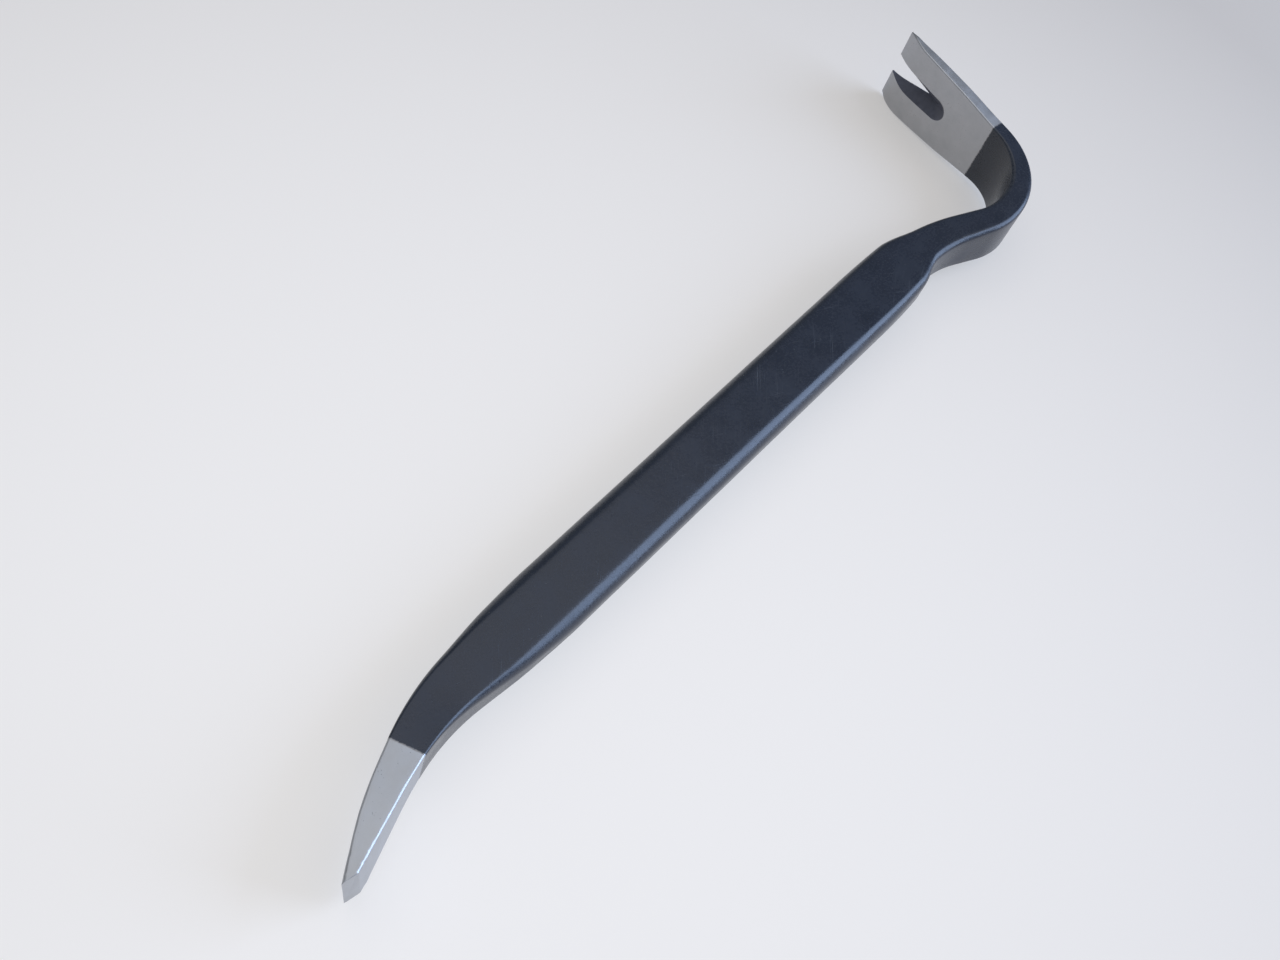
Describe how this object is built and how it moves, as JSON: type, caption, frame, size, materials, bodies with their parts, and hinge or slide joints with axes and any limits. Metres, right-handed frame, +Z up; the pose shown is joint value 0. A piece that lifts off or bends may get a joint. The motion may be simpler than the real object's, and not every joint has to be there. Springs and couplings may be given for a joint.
{
  "type": "pry bar",
  "caption": "Forged steel pry bar with a bent chisel end, a lacquered shank and a hooked claw with a nail slot.",
  "frame": {"origin": "under the middle of the bar's box, on the surface that the bar lies on", "axes": "+X along the shank from the chisel to the claw, +Y in the plane of the bends towards the claw's tips, +Z up, across the bar's width"},
  "size_m": [0.3572, 0.078, 0.0335],
  "materials": {
    "ground_steel_chisel": "ground bare steel, satin, fine grinding marks",
    "ground_steel_claw": "ground bare steel, satin, slightly darker than the chisel",
    "forged_steel": "forged steel under the lacquer, with a thin dark scale",
    "black_lacquer": "glossy blue-black lacquer with fine scratches"
  },
  "bodies": {
    "root": {"chisel_blade": "ground_steel_chisel", "chisel_bend": "forged_steel", "shank": "forged_steel", "neck": "forged_steel", "heel": "forged_steel", "claw_plate": "ground_steel_claw", "claw_tine_upper": "ground_steel_claw", "claw_tine_lower": "ground_steel_claw", "lacquer_coat": "black_lacquer"}
  },
  "joints": []
}
